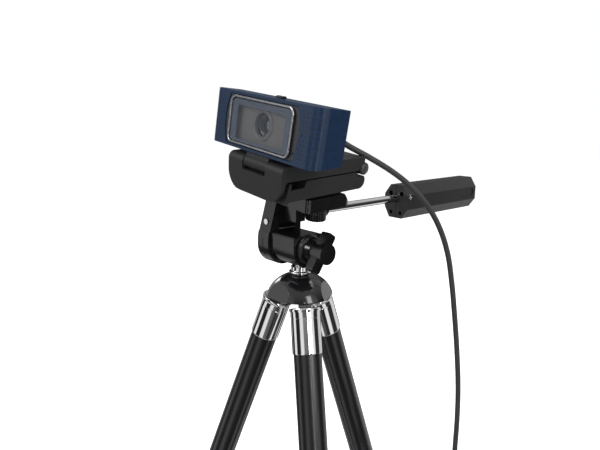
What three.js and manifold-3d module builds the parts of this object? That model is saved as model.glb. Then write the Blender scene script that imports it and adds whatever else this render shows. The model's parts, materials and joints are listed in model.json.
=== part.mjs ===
// Webcam with a folding clip, standing on a compact three-legged tripod with a tilt head.
// Millimetres, +Z up. The webcam looks towards -Y, the handle points to +Y.
import * as THREE from 'three';
import { mergeVertices } from 'three/addons/utils/BufferGeometryUtils.js';
import Module from 'manifold-3d';

// ---------------------------------------------------------------- driving dimensions
const ORIGIN = [0, 83.385];         // plan position of the bounding box centre, from the tripod axis
const CROWN_Z = 188;                 // height of the leg reference level above the floor
const SPLAY = 19.65;                 // leg angle from vertical
const LEG_AZ = { a: 210, b: 330, c: 90 };
const LEG_R = 16;                    // radius of the leg axes at the reference level
const PIVOT_T = -7;                  // leg pivot, measured along the leg axis
const TUBE_R = 9.5, TUBE_IN = 8.1;   // outer leg tube
const INNER_R = 7.7, INNER_IN = 6.5; // telescopic inner section
const TUBE_END = 168;                // lower end of the outer tube, along the leg axis
const FOOT_C = 190.8, FOOT_R = 8.3;  // centre and radius of the rubber foot's ball
const CROWN_R = 24, CROWN_H = 20, CROWN_C = -2, CROWN_BASE = 1.5;
const YOKE_X = [-16.6, 8], YOKE_HALF = 13, YOKE_TOP = 45.3;
const TILT_Z = 36;                   // tilt axis above the leg reference level
const ARM_X = [-29, -17];            // tilt bracket, across
const FLIP = [-23, 52];              // portrait hinge axis: x and z
const HEAD_O = [0, 0, 70];           // corner point of the camera platform's frame
const PITCH = 2.9, SIDE = 7.8;       // set of the platform: nose down, right side down
const PLATE = { x0: -29, x1: 27, y0: -18, y1: 21, z0: -0.6, z1: 8.2 };
const SCREW = [0, 15.4];             // camera screw on the platform
const ROD = { x: -9, z: 58.1, r: 3.1, y0: 23.5, y1: 150 };
const GRIP = { y0: 113.5, y1: 215, w: 24, h: 27.8, z: 55.4 };
const CLIP_X = -1.2, CLIP_HW = 27.5; // middle and half width of the webcam clip
const FOLD = [32.1, 23];             // clip fold hinge: y and z in the platform frame
const CAM_TILT = -6.6;               // set of the webcam, looking slightly up from the clip
const CAM_HINGE = [-37.9, 23.3];     // webcam hinge in the webcam's frame
const CAM = { x: -1.8, hw: 52.5, y0: -42, y1: -19.5, z0: 29.7, z1: 65.2, rise: 3.2, r: 8 };
const SR_X = 13.8;                   // cable outlet, across the webcam
const LENS_Z = 47.8;
const CORD_R = 2.0;                  // radius of the USB cable

const CABLE = [[19.2, 11.5, 112.2], [21.8, 23.6, 105.6], [27.9, 37.6, 97.8], [34.2, 51.2, 89.3], [39.4, 62.4, 80.8], [44.3, 72.7, 70.6], [48.5, 81.9, 58.8], [52.3, 90, 43.8], [55.3, 96.4, 25.4],
  [57.3, 100.7, 3.8], [59.3, 104.9, -24.9], [61, 108.7, -54.5], [62.3, 111.4, -83.3], [62.8, 112.4, -109.2], [62.8, 112.4, -138.6], [63.3, 112, -160], [67.5, 108.9, -175.5], [76, 102.2, -183.6], [87, 93.5, -185.8], [95.5, 87.1, -185.9], [98.6, 84.7, -185.9]];
const COIL = { c: [79.4, 55.4], r: 26, w: 12.6, h: 12.6 };  // coil of the spare length: centre, mean radius, section

const D = Math.PI / 180;
const wasm = await Module(); wasm.setup();

// ---------------------------------------------------------------- helpers
const V3 = (x, y, z) => new THREE.Vector3(x, y, z);
function man(geo) {
  const g = geo.clone(); for (const k of Object.keys(g.attributes)) if (k !== 'position') g.deleteAttribute(k);
  const m = mergeVertices(g, 1e-4);
  return new wasm.Manifold(new wasm.Mesh({ numProp: 3, vertProperties: new Float32Array(m.attributes.position.array), triVerts: new Uint32Array(m.index.array) }));
}
function geo(m) {
  const q = m.getMesh(), g = new THREE.BufferGeometry();
  g.setAttribute('position', new THREE.BufferAttribute(new Float32Array(q.vertProperties), 3));
  g.setIndex(new THREE.BufferAttribute(new Uint32Array(q.triVerts), 1)); g.computeVertexNormals(); return g;
}
const cut = (a, ...bs) => geo(bs.reduce((s, b) => s.subtract(man(b)), man(a)));
const join = (a, ...bs) => geo(bs.reduce((s, b) => s.add(man(b)), man(a)));
const both = (a, b) => geo(man(a).intersect(man(b)));
const box = (x0, x1, y0, y1, z0, z1) => new THREE.BoxGeometry(x1 - x0, y1 - y0, z1 - z0).translate((x0 + x1) / 2, (y0 + y1) / 2, (z0 + z1) / 2);
// cylinder between two stations along one axis
function cyl(axis, r, a, b, p, q, n = 24, r2 = r) {
  const g = new THREE.CylinderGeometry(r2, r, b - a, n);          // axis Y, r at the low end
  if (axis === 'x') { g.rotateZ(-Math.PI / 2); g.translate((a + b) / 2, p, q); }
  if (axis === 'y') g.translate(p, (a + b) / 2, q);
  if (axis === 'z') { g.rotateX(Math.PI / 2); g.translate(p, q, (a + b) / 2); }
  return g;
}
// turned piece: profile of [radius, height] pairs, axis Z
function turned(pts, n = 32) {
  const g = new THREE.LatheGeometry(pts.map(([r, z]) => new THREE.Vector2(r, z)), n); g.rotateX(Math.PI / 2);
  return fix(g);
}
function fix(g) { // merged, degenerate-free, outward facing
  const t = g.clone(); for (const k of Object.keys(t.attributes)) if (k !== 'position') t.deleteAttribute(k);
  const m = mergeVertices(t, 1e-4), p = m.attributes.position, ix = m.index.array, out = []; let vol = 0;
  const A = V3(), B = V3(), C = V3();
  for (let i = 0; i < ix.length; i += 3) {
    const [a, b, c] = [ix[i], ix[i + 1], ix[i + 2]]; if (a === b || b === c || a === c) continue;
    out.push(a, b, c); A.fromBufferAttribute(p, a); B.fromBufferAttribute(p, b); C.fromBufferAttribute(p, c); vol += A.dot(B.cross(C));
  }
  if (vol < 0) for (let i = 0; i < out.length; i += 3) [out[i], out[i + 1]] = [out[i + 1], out[i]];
  m.setIndex(out); return m;
}
// prism: closed outline of [u, v] points extruded from a to b along an axis
function prism(axis, pts, a, b) {
  const s = new THREE.Shape(pts.map(([u, v]) => new THREE.Vector2(u, v)));
  const g = new THREE.ExtrudeGeometry(s, { depth: b - a, bevelEnabled: false, steps: 1 }); g.translate(0, 0, a);
  if (axis === 'x') g.applyMatrix4(new THREE.Matrix4().set(0, 0, 1, 0, 1, 0, 0, 0, 0, 1, 0, 0, 0, 0, 0, 1)); // (u,v,w)->(w,u,v)
  if (axis === 'y') g.applyMatrix4(new THREE.Matrix4().set(1, 0, 0, 0, 0, 0, 1, 0, 0, 1, 0, 0, 0, 0, 0, 1)); // (u,v,w)->(u,w,v)
  return fix(g);
}
function arc(cx, cy, r, a0, a1, n) { const o = []; for (let i = 0; i <= n; i++) { const a = (a0 + (a1 - a0) * i / n) * D; o.push([cx + r * Math.cos(a), cy + r * Math.sin(a)]); } return o; }
// rounded rectangle outline; r may be one number or [lower left, lower right, upper right, upper left]
function rrect(x0, x1, y0, y1, r, n = 5) {
  const [a, b, c, d] = Array.isArray(r) ? r : [r, r, r, r];
  const k = (cx, cy, rr, s) => rr > 0 ? arc(cx, cy, rr, s, s + 90, n) : [[cx, cy]];
  return [...k(x0 + a, y0 + a, a, 180), ...k(x1 - b, y0 + b, b, 270), ...k(x1 - c, y1 - c, c, 0), ...k(x0 + d, y1 - d, d, 90)];
}
const mat = (c, r, m) => new THREE.MeshStandardMaterial({ color: c, roughness: r, metalness: m });
const BLACK = [0x17181a, 0.35, 0], GREY = [0x3a3a3b, 0.6, 0], CHROME = [0xd8d8d8, 0.12, 1], NAVY = [0x1f3557, 0.45, 0], RUBBER = [0x202022, 0.9, 0];
function add(group, name, g, m) { const o = new THREE.Mesh(g, mat(...m)); o.name = name; group.add(o); return o; }

const root = new THREE.Group(); root.position.set(-ORIGIN[0], -ORIGIN[1], 0);
const stand = new THREE.Group(); stand.position.z = CROWN_Z; root.add(stand);   // reference level of the tripod
const head = new THREE.Group(); head.position.set(...HEAD_O); head.rotation.set(PITCH * D, SIDE * D, 0, 'XYZ'); stand.add(head);
const clip = new THREE.Group(); clip.position.x = CLIP_X; head.add(clip);
const cam = new THREE.Group(); cam.position.x = CAM.x; cam.rotation.x = CAM_TILT * D; head.add(cam);

// ---------------------------------------------------------------- crown and legs
const ca = Math.cos(SPLAY * D), sa = Math.sin(SPLAY * D);
const pivR = LEG_R + PIVOT_T * sa, pivZ = -PIVOT_T * ca;
{
  const prof = [[0, CROWN_BASE], [21.8, CROWN_BASE], [23.1, CROWN_BASE + 0.8]];
  for (let i = 0; i <= 7; i++) { const a = 14 + i * 72 / 7; const r = CROWN_R * Math.cos(a * D); if (r > 7.4) prof.push([r, CROWN_C + CROWN_H * Math.sin(a * D)]); }
  prof.push([7.2, 17.3], [0, 17.5]);
  let m = man(turned(prof, 36));
  for (const az of [30, 150, 270]) {       // flat facets between the legs
    const b = box(20.2, 40, -30, 30, -30, 30); b.rotateY(-24 * D); b.rotateZ(az * D); m = m.subtract(man(b));
  }
  for (const az of Object.values(LEG_AZ)) { // a slot for each leg's tang, and its pin hole
    const o = [...arc(pivR, pivZ, 4.9, 20, 180, 8), [pivR - 4.9, -6], [23.1, -6]];
    const s = prism('y', o, -4.3, 4.3); s.rotateZ(az * D); m = m.subtract(man(s));
    const h = cyl('y', 1.8, -8.5, 8.5, pivR, pivZ, 16); h.rotateZ(az * D); m = m.subtract(man(h));
  }
  m = m.subtract(man(cyl('z', 5.8, 8.8, 30, 0, 0, 32)));
  add(stand, 'crown', geo(m), BLACK);
}
add(stand, 'neck_column', turned([[0, 9.1], [5.5, 9.1], [5.5, 18.1], [7.8, 18.3], [7.8, 19.4], [6.6, 19.8], [6.6, 22.6], [4, 22.6], [4, 31.2], [0, 31.2]], 24), CHROME);

for (const [k, az] of Object.entries(LEG_AZ)) {
  // leg frame: local -Z runs down the leg axis from the reference point
  const leg = new THREE.Group(); leg.position.set(LEG_R * Math.cos(az * D), LEG_R * Math.sin(az * D), 0);
  leg.rotation.set(0, -SPLAY * D, az * D, 'ZYX'); stand.add(leg);
  const pin = add(stand, `leg_${k}_pivot_pin`, cyl('y', 1.5, -8, 8, pivR, pivZ, 16), CHROME); pin.rotation.z = az * D;
  // tang: lower end plugs into the tube
  let t = join(box(-4.2, 4.2, -3.8, 3.8, -8.2, 7), cyl('y', 4.2, -3.8, 3.8, 0, 7, 20), cyl('z', 7.7, -25, -7.7, 0, 0, 28));
  t = cut(t, cyl('y', 1.8, -5, 5, 0, 7, 16));
  add(leg, `leg_${k}_tang`, t, BLACK);
  add(leg, `leg_${k}_collar`, turned([[6.1, -3.4], [10, -2.6], [10.9, -3.2], [10.9, -4.5], [10.2, -5.4], [10.2, -32.5], [10, -33], [9.8, -33], [9.8, -7.3], [6.1, -7.3], [6.1, -3.4]], 20), CHROME);
  add(leg, `leg_${k}_tube`, turned([[TUBE_R, -7.7], [TUBE_R, -TUBE_END], [TUBE_IN, -TUBE_END], [TUBE_IN, -7.7], [TUBE_R, -7.7]], 24), BLACK);
  add(leg, `leg_${k}_inner_tube`, turned([[INNER_R, -48], [INNER_R, -182], [INNER_IN, -182], [INNER_IN, -48], [INNER_R, -48]], 20), CHROME);
  const ball = []; for (let i = 0; i <= 5; i++) { const a = -90 + i * 90 / 5; ball.push([FOOT_R * Math.cos(a * D), -FOOT_C + FOOT_R * Math.sin(a * D)]); }
  add(leg, `leg_${k}_foot`, turned([...ball, [9.3, -185], [9.5, -170.5], [9, -168.6], [8, -168.6], [8, -182.4], [0, -182.4]], 20), RUBBER);
}

// ---------------------------------------------------------------- pan yoke, tilt bracket, wing knob
{
  const y = [...arc(0, TILT_Z, YOKE_HALF, 180, 360, 20), [YOKE_HALF, YOKE_TOP - 0.8], [YOKE_HALF - 0.8, YOKE_TOP], [-YOKE_HALF + 0.8, YOKE_TOP], [-YOKE_HALF, YOKE_TOP - 0.8]];
  add(stand, 'pan_yoke', cut(prism('x', y, ...YOKE_X), cyl('x', 3.35, -30, 30, 0, TILT_Z, 24), cyl('z', 4.3, 10, 31.6, 0, 0, 28)), BLACK);
  add(stand, 'tension_disc', cut(cyl('x', 10.6, 8.3, 11.6, 0, TILT_Z, 36), cyl('x', 3.35, 0, 30, 0, TILT_Z, 24)), BLACK);
  // bracket: round cheek on the yoke's left side, arm leaning back, split knuckles for the portrait hinge
  const c = arc(0, TILT_Z, 15.4, 185, 360, 20);
  const arm = [...c, [13.6, 45.4], [-14.4, 45.4], [-15.3, 40]];
  let b = man(prism('x', arm, ...ARM_X));
  // front ear: a leaning plate that runs up in front of the platform's arm
  b = b.add(man(prism('x', [[-14.2, 44], [-5.2, 44], [-5.2, 67.4], [-7.3, 67.4]], ...ARM_X)));
  b = b.add(man(box(ARM_X[0], ARM_X[1], 9, 15, 44, FLIP[1]))).add(man(cyl('y', 6, 9, 15, FLIP[0], FLIP[1], 28)));
  b = b.add(man(prism('x', [[13.2, 40], [13.6, 45.4], [15, 50], [12, 50], [9, 44]], ...ARM_X)));
  b = b.subtract(man(cyl('x', 3.35, -40, 0, 0, TILT_Z, 24))).subtract(man(cyl('y', 2, -20, 20, FLIP[0], FLIP[1], 20))).subtract(man(cyl('y', 2.4, -20, -10.4, FLIP[0], FLIP[1], 20)));
  b = b.subtract(man(cyl('x', 6.5, -30, -26.2, 0, TILT_Z, 6)));       // pocket of the bolt's hexagon head
  add(stand, 'tilt_bracket', geo(b), BLACK);
  add(stand, 'tilt_bolt', join(cyl('x', 3, -28, 25, 0, TILT_Z, 24), cyl('x', 6.1, -28.6, -26.5, 0, TILT_Z, 6)), CHROME);
  add(stand, 'flip_hinge_pin', join(cyl('y', 1.7, -12, 15.6, FLIP[0], FLIP[1], 16), cyl('y', 2.1, -12.6, -10.7, FLIP[0], FLIP[1], 16), cyl('y', 2.6, 15.3, 16, FLIP[0], FLIP[1], 16)), CHROME);
  // wing knob: hub with two blades, hollow front
  const dir = [0.553, 0.833];
  const blade = prism('z', rrect(-4, 4, -14.2, 14.2, 1.6, 3), -3.2, 3.2); // u across, v along
  blade.applyMatrix4(new THREE.Matrix4().set(0, 0, 1, 20.4, dir[1], dir[0], 0, 0, -dir[0], dir[1], 0, TILT_Z, 0, 0, 0, 1));
  let k = man(cyl('x', 5.8, 12, 27.6, 0, TILT_Z, 28)).add(man(cyl('x', 7.6, 12, 15.5, 0, TILT_Z, 28, 6.4))).add(man(cyl('x', 7.1, 23.2, 27.6, 0, TILT_Z, 32))).add(man(fix(blade)));
  k = k.subtract(man(cyl('x', 3.35, 10, 25.4, 0, TILT_Z, 24))).subtract(man(cyl('x', 3.4, 25.8, 30, 0, TILT_Z, 24)));
  add(stand, 'wing_knob', geo(k), BLACK);
}

// ---------------------------------------------------------------- camera platform (one casting), handle
{
  const toStand = new THREE.Matrix4().compose(V3(...HEAD_O), new THREE.Quaternion().setFromEuler(new THREE.Euler(PITCH * D, SIDE * D, 0, 'XYZ')), V3(1, 1, 1));
  const P = PLATE;
  const plate = prism('z', rrect(P.x0, P.x1, P.y0, P.y1, [3, 3, 5, 5], 4), P.z0, P.z1);
  const boss = cyl('z', 7.4, -6.2, P.z0 + 1, ...SCREW, 28);
  let m = man(both(plate, prism('x', [[P.y0, P.z0], [P.y1, P.z0], [P.y1 - 0.6, 0.9], [14.5, P.z1], [P.y0, P.z1]], -60, 60))).add(man(boss)); m = m.subtract(man(cyl('z', 3.5, -20, 20, ...SCREW, 24)));
  m = man(geo(m).applyMatrix4(toStand));
  // arm up from the portrait hinge, and the box that takes the handle
  m = m.add(man(prism('x', [[-4.9, 52], [-4.9, 70.5], [17, 70.5], [16.6, 59], [8.7, 59], [8.7, 52]], ARM_X[0], ARM_X[1])));
  m = m.add(man(cyl('y', 6, -4.9, 8.7, FLIP[0], FLIP[1], 28)));
  m = m.add(man(box(-16.6, -1.5, -3, 5.5, 53.6, 70))).add(man(box(-16.6, -8.7, 4, 30, 53.6, 70))).add(man(box(ARM_X[1] - 1, -10, -3, 16.5, 59.2, 70)));
  m = m.add(man(cyl('y', 5.2, 22.6, 31, ROD.x, ROD.z, 24))).add(man(box(-14.2, -3.8, 25.3, 31, 58, 68)));
  m = m.subtract(man(cyl('y', 2, -20, 20, FLIP[0], FLIP[1], 20))).subtract(man(cyl('y', 3.4, 23.2, 40, ROD.x, ROD.z, 24)));
  m = m.subtract(man(cyl('z', 8.4, -20, -6.2, ...SCREW, 32).applyMatrix4(toStand)));
  add(stand, 'camera_platform', geo(m), BLACK);
}
add(head, 'platform_pad', cut(prism('z', rrect(-22, 22, -14, 14, 2, 3), 8.5, 9.2), cyl('z', 3.6, 0, 20, ...SCREW, 24)), RUBBER);
{ // camera screw with its knurled wheel
  const n = 16, o = []; for (let i = 0; i < n; i++) { const a = 360 * i / n; for (const [f, r] of [[-0.32, 7.3], [0.32, 7.3], [0.46, 6.5], [1.04, 6.5]]) o.push([SCREW[0] + r * Math.cos((a + f * 15) * D), SCREW[1] + r * Math.sin((a + f * 15) * D)]); }
  add(head, 'screw_wheel', cut(prism('z', o, -17.6, -6.6), cyl('z', 3.3, -13, 0, ...SCREW, 24)), BLACK);
  add(head, 'camera_screw', join(cyl('z', 3, -12.6, 15.6, ...SCREW, 24)), CHROME);
}
add(stand, 'handle_rod', cyl('y', ROD.r, ROD.y0, ROD.y1, ROD.x, ROD.z, 20), CHROME);
{ // two grip shells screwed together round the rod
  const c = GRIP.z, x = ROD.x, h = GRIP.h / 2, w = GRIP.w / 2;
  const o = [[x - w, c - 5], [x - w + 5, c - h], [x + w - 6, c - h], [x + w, c - h + 8], [x + w, c + 5.5], [x + w - 5.5, c + h], [x - w + 6, c + h], [x - w, c + h - 8]];
  const full = prism('y', o, GRIP.y0, GRIP.y1);
  const bore = cyl('y', ROD.r + 0.3, GRIP.y0 - 5, ROD.y1 + 0.4, x, ROD.z, 20);
  const s1 = cyl('x', 1.9, x + 4.2, x + 30, 118.5, c + 4, 16);
  add(stand, 'grip_shell_right', cut(both(full, box(x + 0.15, x + 40, 0, 300, 0, 100)), bore, s1), BLACK);
  add(stand, 'grip_shell_left', cut(both(full, box(x - 40, x - 0.15, 0, 300, 0, 100)), bore, s1), BLACK);
  add(stand, 'grip_screw_front', cyl('x', 1.6, x + 4.5, x + w - 1.2, 118.5, c + 4, 16), CHROME);
}

// ---------------------------------------------------------------- clip: foot and top
const [FY, FZ] = FOLD;
{
  const H = CLIP_HW;
  const side = [[-34.8, 7.7], [-33.4, 9.4], [26, 9.6], ...arc(28.2, 15, 5.4, -90, 20, 6), [32.6, 18], [26.6, 18.2], [26.6, 20], [25, 21.3], [-19.6, 21.3], [-21.2, 17], [-32, 16.8], [-31.8, 21], [-33.2, 21], [-36.2, 9.4], [-36.1, 7.7]];
  let m = man(prism('x', side, -H, H));
  m = m.add(man(box(-16.4, 16.4, 27, FY, 14, FZ))).add(man(cyl('x', 4.2, -16.4, 16.4, FY, FZ, 24)));
  m = m.subtract(man(cyl('x', 1.9, -30, 30, FY, FZ, 20))).subtract(man(cyl('z', 6.3, 9, 17, SCREW[0] - CLIP_X, SCREW[1], 28)));
  m = m.subtract(man(box(-24.5, 24.5, -31, -22.4, 12.2, 30)));
  add(clip, 'clip_foot', geo(m), GREY);
  add(head, 'threaded_insert', cut(cyl('z', 6, 9.7, 16.7, ...SCREW, 28), cyl('z', 3.3, 0, 30, ...SCREW, 24)), CHROME);
}
{
  const H = CLIP_HW;
  const side = [[-36.9, 7.9], [-36.9, 20.6], [-35.2, 22.2], [27.2, 22.2], [27.2, FZ], [FY, FZ], [FY, 31], [-35.4, 31.6], ...arc(-35.6, 27.2, 4.4, 90, 180, 6).slice(1), [-40, 8.6], [-39.4, 7.9]];
  let m = man(prism('x', side, -H, H));
  // front view of the lip: rounded lower corners
  const mask = rrect(-H, H, 7.9, 60, [13, 13, 0, 0], 6);
  m = m.intersect(man(prism('y', mask, -60, 60)));
  m = m.add(man(both(prism('x', side.map(([y, z]) => [y, z]), -H, H), box(-40, 40, -30, 60, 22.2, 40))));
  m = m.add(man(cyl('x', 4.2, -H, H, FY, FZ, 24)));
  m = m.subtract(man(box(-16.8, 16.8, 24, 60, 10, 27.7))).subtract(man(cyl('x', 1.9, -H + 2, H - 2, FY, FZ, 20)));
  m = m.subtract(man(box(CAM.x - CLIP_X - 11.8, CAM.x - CLIP_X + 11.8, -60, -26, 22.7, 60)));   // notch of the webcam hinge
  m = m.subtract(man(cyl('x', 1.5, -22, 22, -35, 27.4, 16)));
  m = m.subtract(man(box(-22, 22, -25.4, 22, 20, 22.9)));                // shallow seat of the rubber pad
  add(clip, 'clip_top', geo(m), GREY);
  add(clip, 'clip_grip_pad', prism('z', rrect(-21.6, 21.6, -25, 21.6, 2, 3), 21.9, 22.6), RUBBER);
  add(clip, 'fold_hinge_pin', cyl('x', 1.6, -25, 25, FY, FZ, 20), CHROME);
  add(clip, 'cam_hinge_pin', cyl('x', 1.2, -21.6, 21.6, -35, 27.4, 16), CHROME);
}

// ---------------------------------------------------------------- webcam
{
  const C = CAM, hw = C.hw, [HY, HZ] = CAM_HINGE;
  const slope = C.rise / (C.y1 - C.y0);
  const lower = (dz) => [[C.y0 - 9, C.z0 + dz - 9 * slope], [40, C.z0 + dz + (40 - C.y0) * slope], [40, 200], [C.y0 - 9, 200]];
  const outline = (i, y1 = C.y1) => rrect(-hw + i, hw - i, C.y0 + i, y1, [C.r - i, C.r - i, 0, 0], 8);
  let outer = man(prism('z', outline(0), C.z0 - 2, C.z1)).intersect(man(prism('x', lower(0), -80, 80)));
  let inner = man(prism('z', outline(1.8, C.y1 + 5), C.z0, C.z1 - 1.8)).intersect(man(prism('x', lower(1.8), -80, 80)));
  const bow = (dx, dz, a = 33, b = 36.5) => { // opening with sides that bow outwards
    const o = [], z0 = C.z0 + 1.9 + dz, z1 = C.z1 - 1.9 - dz, n = 10;
    for (let i = 0; i <= n; i++) { const s = -1 + 2 * i / n; o.push([b - dx - (b - a) * s * s, z0 + (z1 - z0) * i / n]); }
    for (let i = n; i >= 0; i--) { const s = -1 + 2 * i / n; o.push([-(b - dx) + (b - a) * s * s, z0 + (z1 - z0) * i / n]); }
    return o;
  };
  let shell = outer.subtract(inner).subtract(man(prism('y', bow(0, 0), C.y0 - 5, C.y0 + 4)));
  shell = shell.subtract(man(box(-9.6, 13.8, C.y0 + 4.2, C.y0 + 6.4, C.z1 - 3, C.z1 + 2)));   // slot of the privacy slide
  add(cam, 'front_shell', geo(shell), NAVY);
  // dark band with a window opening and a pocket behind it
  let band = man(prism('y', bow(0.3, 0.3), C.y0 + 0.5, C.y0 + 2.6));
  band = band.subtract(man(prism('y', rrect(-28, 28, 35.2, 59.8, 3, 4), C.y0 - 5, C.y0 + 8)));
  add(cam, 'front_band', geo(band), GREY);
  const ring = (x, z0, z1, r, w, y0, y1) => cut(prism('y', rrect(-x, x, z0, z1, r, 6), y0, y1), prism('y', rrect(-x + w, x - w, z0 + w, z1 - w, r - w, 6), y0 - 1, y1 + 1));
  add(cam, 'window_bezel', ring(31.3, 32.3, 62.7, 5, 1.5, C.y0 - 1.5, C.y0 + 0.2), CHROME);
  add(cam, 'window', prism('y', rrect(-29.5, 29.5, 34.1, 60.9, 3.2, 6), C.y0 - 1.2, C.y0 + 0.2), [0x8899aa, 0.05, 0]);
  // plate behind the window: round opening with a raised ring round it
  const surround = man(prism('y', rrect(-29.5, 29.5, 34.6, 61.4, 3, 3), C.y0 + 2.9, C.y0 + 4.2)).add(man(cyl('y', 10, C.y0 + 2.2, C.y0 + 3.4, 0, LENS_Z, 32, 9.2)));
  add(cam, 'lens_surround', geo(surround.subtract(man(cyl('y', 7.4, C.y0, C.y0 + 20, 0, LENS_Z, 32)))), BLACK);
  add(cam, 'lens_barrel', cut(cyl('y', 8.1, C.y0 + 5.4, C.y0 + 14, 0, LENS_Z, 32), cyl('y', 5.4, C.y0, C.y0 + 8.4, 0, LENS_Z, 28), cyl('y', 3.4, C.y0, C.y0 + 40, 0, LENS_Z, 24)), BLACK);
  const lg = []; for (let i = 0; i <= 4; i++) { const a = i * 90 / 4; lg.push([5.1 * Math.cos(a * D), 1.6 * Math.sin(a * D)]); }
  const glass = turned([[0, 0], ...lg.slice(0, -1), [0, 1.6]], 20); glass.rotateX(Math.PI / 2); glass.translate(0, C.y0 + 8.1, LENS_Z);
  add(cam, 'lens_glass', glass, [0x101820, 0.03, 0]);
  add(cam, 'image_sensor', box(-4, 4, C.y0 + 14.3, C.y0 + 15.7, LENS_Z - 4, LENS_Z + 4), BLACK);
  add(cam, 'main_board', prism('y', rrect(-46, 46, 38.6, 61.5, 1.5, 2), C.y0 + 16, C.y0 + 17.6), [0x1d5a33, 0.5, 0]);
  // rear cover closes the shell
  let rc = man(prism('z', [[-hw + 1, C.y1 + 0.3], [hw - 1, C.y1 + 0.3], [hw - 3, C.y1 + 2.6], [hw - 9, C.y1 + 5.8], [-hw + 9, C.y1 + 5.8], [-hw + 3, C.y1 + 2.6]], C.z0, C.z1));
  rc = rc.intersect(man(prism('x', [[C.y1 + 0.3, C.z0 + C.rise + 1], [C.y1 + 2.6, C.z0 + C.rise + 2.4], [C.y1 + 5.8, C.z0 + 9.5], [C.y1 + 5.8, C.z1 - 6.5], [C.y1 + 2.6, C.z1 - 2.2], [C.y1 + 0.3, C.z1 - 1]], -80, 80)));
  rc = rc.subtract(man(prism('z', [[-hw + 3, C.y1 - 5], [hw - 3, C.y1 - 5], [hw - 3.4, C.y1 + 1.5], [hw - 10, C.y1 + 4.2], [-hw + 10, C.y1 + 4.2], [-hw + 3.4, C.y1 + 1.5]], C.z0 + 10.5, C.z1 - 7)));
  rc = rc.subtract(man(cyl('y', 3.2, C.y1, C.y1 + 20, SR_X, 46, 20)));
  add(cam, 'rear_cover', geo(rc), BLACK);
  // neck with the hinge barrel
  let nk = man(cyl('x', 4.4, -11.3, 11.3, HY, HZ, 24)).add(man(prism('x', [[HY - 3.4, HZ], [HY + 3.6, HZ], [-31.2, C.z0 + (-31.2 - C.y0) * slope - 0.35], [-40.2, C.z0 + (-40.2 - C.y0) * slope - 0.35]], -11.3, 11.3)));
  nk = nk.subtract(man(cyl('x', 1.5, -20, 20, HY, HZ, 16)));
  add(cam, 'hinge_neck', geo(nk), GREY);
  // privacy slide: tab on top, blade parked beside the lens
  let sh = man(box(8.5, 13.3, C.y0 + 4.5, C.y0 + 6.1, 60.6, C.z1 + 0.8)).add(man(prism('y', [[7.9, C.z1 + 0.3], [13.9, C.z1 + 0.3], [13.9, C.z1 + 1.6], [12.5, C.z1 + 1.9], [11.8, C.z1 + 1.2], [10, C.z1 + 1.2], [9.3, C.z1 + 1.9], [7.9, C.z1 + 1.6]], C.y0 + 3.6, C.y0 + 7)));
  sh = sh.add(man(box(8.5, 13.3, C.y0 + 4.5, C.y0 + 5.1, 57, 61))).add(man(box(9.2, 26, C.y0 + 4.5, C.y0 + 5.1, 36.5, 59.4)));
  add(cam, 'privacy_slide', geo(sh), BLACK);
}

// ---------------------------------------------------------------- USB cable, its strain relief, coil, tie and plug
{
  const srm = turned([[0, 0], [2.9, 0], [2.9, 1.6], [4.4, 2.2], [4.2, 4], [3.1, 15], [CORD_R + 0.3, 15], [CORD_R + 0.3, 9], [0, 9]], 18);
  srm.rotateX(-Math.PI / 2); srm.translate(SR_X, CAM.y1 + 4.5, 46); add(cam, 'strain_relief', srm, RUBBER);
}
{
  // route of the cable: out of the strain relief, down in a free arc, along the floor to the coil
  cam.updateMatrix(); head.updateMatrix();
  const end = V3(SR_X, CAM.y1 + 19.8, 46).applyMatrix4(cam.matrix).applyMatrix4(head.matrix);
  const curve = new THREE.CatmullRomCurve3([end, ...CABLE.map(p => V3(...p))], false, 'centripetal');
  const sec = new THREE.Shape(arc(0, 0, CORD_R, 0, 360, 8).slice(0, -1).map(([u, v]) => new THREE.Vector2(u, v)));
  add(stand, 'cable_tube', fix(new THREE.ExtrudeGeometry(sec, { steps: 44, bevelEnabled: false, extrudePath: curve })), RUBBER);
  const [cx, cy] = COIL.c, zc = -CROWN_Z, ri = COIL.r - COIL.w / 2, ro = COIL.r + COIL.w / 2;
  const rim = rrect(ri, ro, zc + 1.5, zc + 1.5 + COIL.h, 3, 2);
  const ring = turned([...rim, rim[0]], 28); ring.translate(cx, cy, 0); add(stand, 'cable_coil', ring, RUBBER);
  const tie = cut(box(ri - 1.6, ro + 1.6, -3, 3, zc + 0.05, zc + COIL.h + 2.9), box(ri - 0.6, ro + 0.6, -9, 9, zc + 1.0, zc + COIL.h + 2));
  tie.rotateZ(-60 * D); tie.translate(cx, cy, 0); add(stand, 'cable_tie', tie, GREY);
  const tx = cx - ro - CORD_R - 0.35, tail = new THREE.LineCurve3(V3(tx, cy, zc + CORD_R + 2), V3(tx, cy + 22, zc + CORD_R + 2));
  add(stand, 'cable_tail', fix(new THREE.ExtrudeGeometry(sec, { steps: 4, bevelEnabled: false, extrudePath: tail })), RUBBER);
  const body = prism('y', rrect(tx - 8, tx + 8, zc + 0.1, zc + 8.1, 2, 3), cy + 30, cy + 54);
  const neck = cyl('y', 2.6, cy + 22.3, cy + 31, tx, zc + 4, 20, 3.6);
  add(stand, 'usb_plug_body', cut(join(body, neck), box(tx - 5.7, tx + 5.7, cy + 48, cy + 60, zc + 2.1, zc + 6.3)), RUBBER);
  add(stand, 'usb_plug_shell', cut(box(tx - 5.4, tx + 5.4, cy + 48.3, cy + 66, zc + 2.4, zc + 6.0), box(tx - 5, tx + 5, cy + 56, cy + 70, zc + 4.2, zc + 5.6)), CHROME);
}
export default root;
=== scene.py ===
import bpy, bmesh, math, json
from mathutils import Vector, Matrix

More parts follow.
